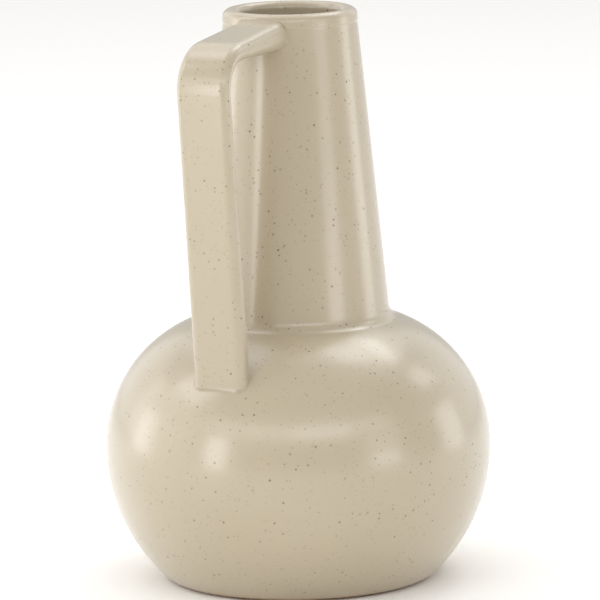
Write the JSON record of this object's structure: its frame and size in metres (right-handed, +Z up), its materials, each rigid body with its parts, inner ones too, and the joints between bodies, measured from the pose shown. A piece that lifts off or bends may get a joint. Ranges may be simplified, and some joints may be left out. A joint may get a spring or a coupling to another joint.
{
  "type": "pottery vase",
  "caption": "Round-bellied stoneware vase with a long tapered neck, a thick round lip and one strap handle.",
  "frame": {"origin": "on the table, under the centre of the belly", "axes": "+Z up along the vase's own axis; the handle stands out towards -X"},
  "size_m": [0.168, 0.168, 0.25],
  "materials": {
    "speckled_glaze": "satin cream glaze with fine dark brown speckles",
    "bare_stoneware": "matt unglazed fired clay"
  },
  "bodies": {
    "root": {"foot_ring": "bare_stoneware", "lower_bowl": "speckled_glaze", "shoulder_dome": "speckled_glaze", "neck": "speckled_glaze", "neck_collar": "speckled_glaze", "handle_strap": "speckled_glaze", "handle_top_slip": "speckled_glaze", "handle_foot_slip": "speckled_glaze"}
  },
  "joints": []
}
